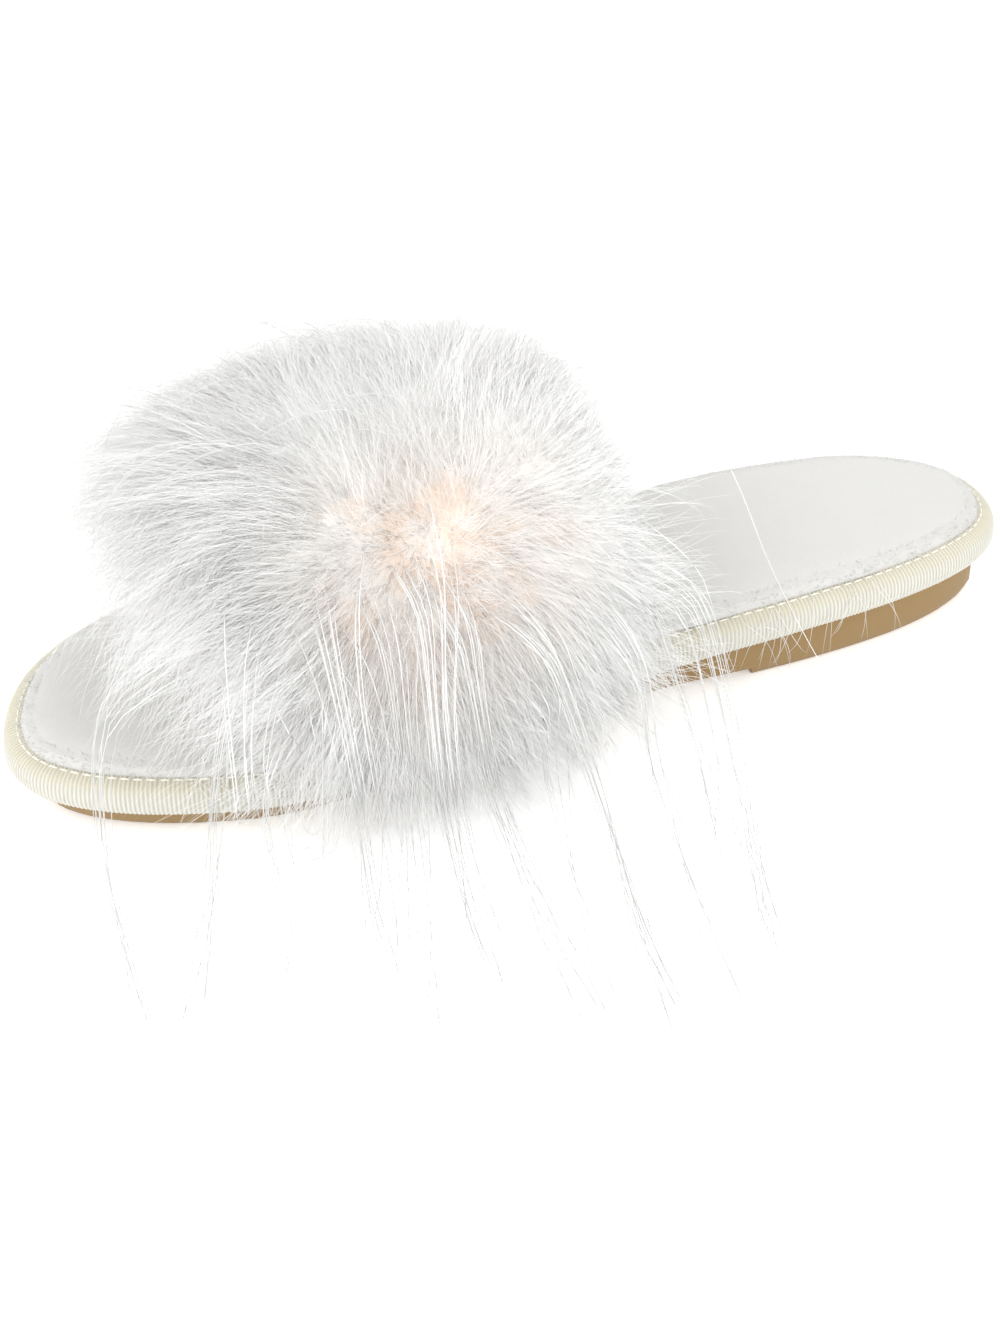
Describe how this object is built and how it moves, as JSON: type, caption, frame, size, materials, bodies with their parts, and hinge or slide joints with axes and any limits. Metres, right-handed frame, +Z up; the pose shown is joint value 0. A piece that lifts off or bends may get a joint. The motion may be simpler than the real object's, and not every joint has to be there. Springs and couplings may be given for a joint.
{
  "type": "open-toe slide slipper",
  "caption": "Right-foot open-toe slide slipper: wide band upper covered in long white fur, plush padded insole with ribbon-bound edge, and a low-heeled tan rubber sole.",
  "frame": {"origin": "on the floor, under the middle of the heel's flat tread", "axes": "+X runs from the heel to the toe, +Y to the inner side of the foot (the big-toe side), +Z up"},
  "size_m": [0.25, 0.2053, 0.0928],
  "materials": {
    "tan_rubber": "satin moulded tan rubber",
    "insole_plush": "short-pile white plush over foam",
    "ribbon": "ribbed cream ribbon with a low sheen",
    "band_lining": "soft matt off-white fleece lining",
    "long_fur": "long soft white fur"
  },
  "bodies": {
    "root": {"outsole": "tan_rubber", "insole": "insole_plush", "edge_ribbon": "ribbon", "upper_band": "band_lining", "fur": "long_fur"}
  },
  "joints": []
}
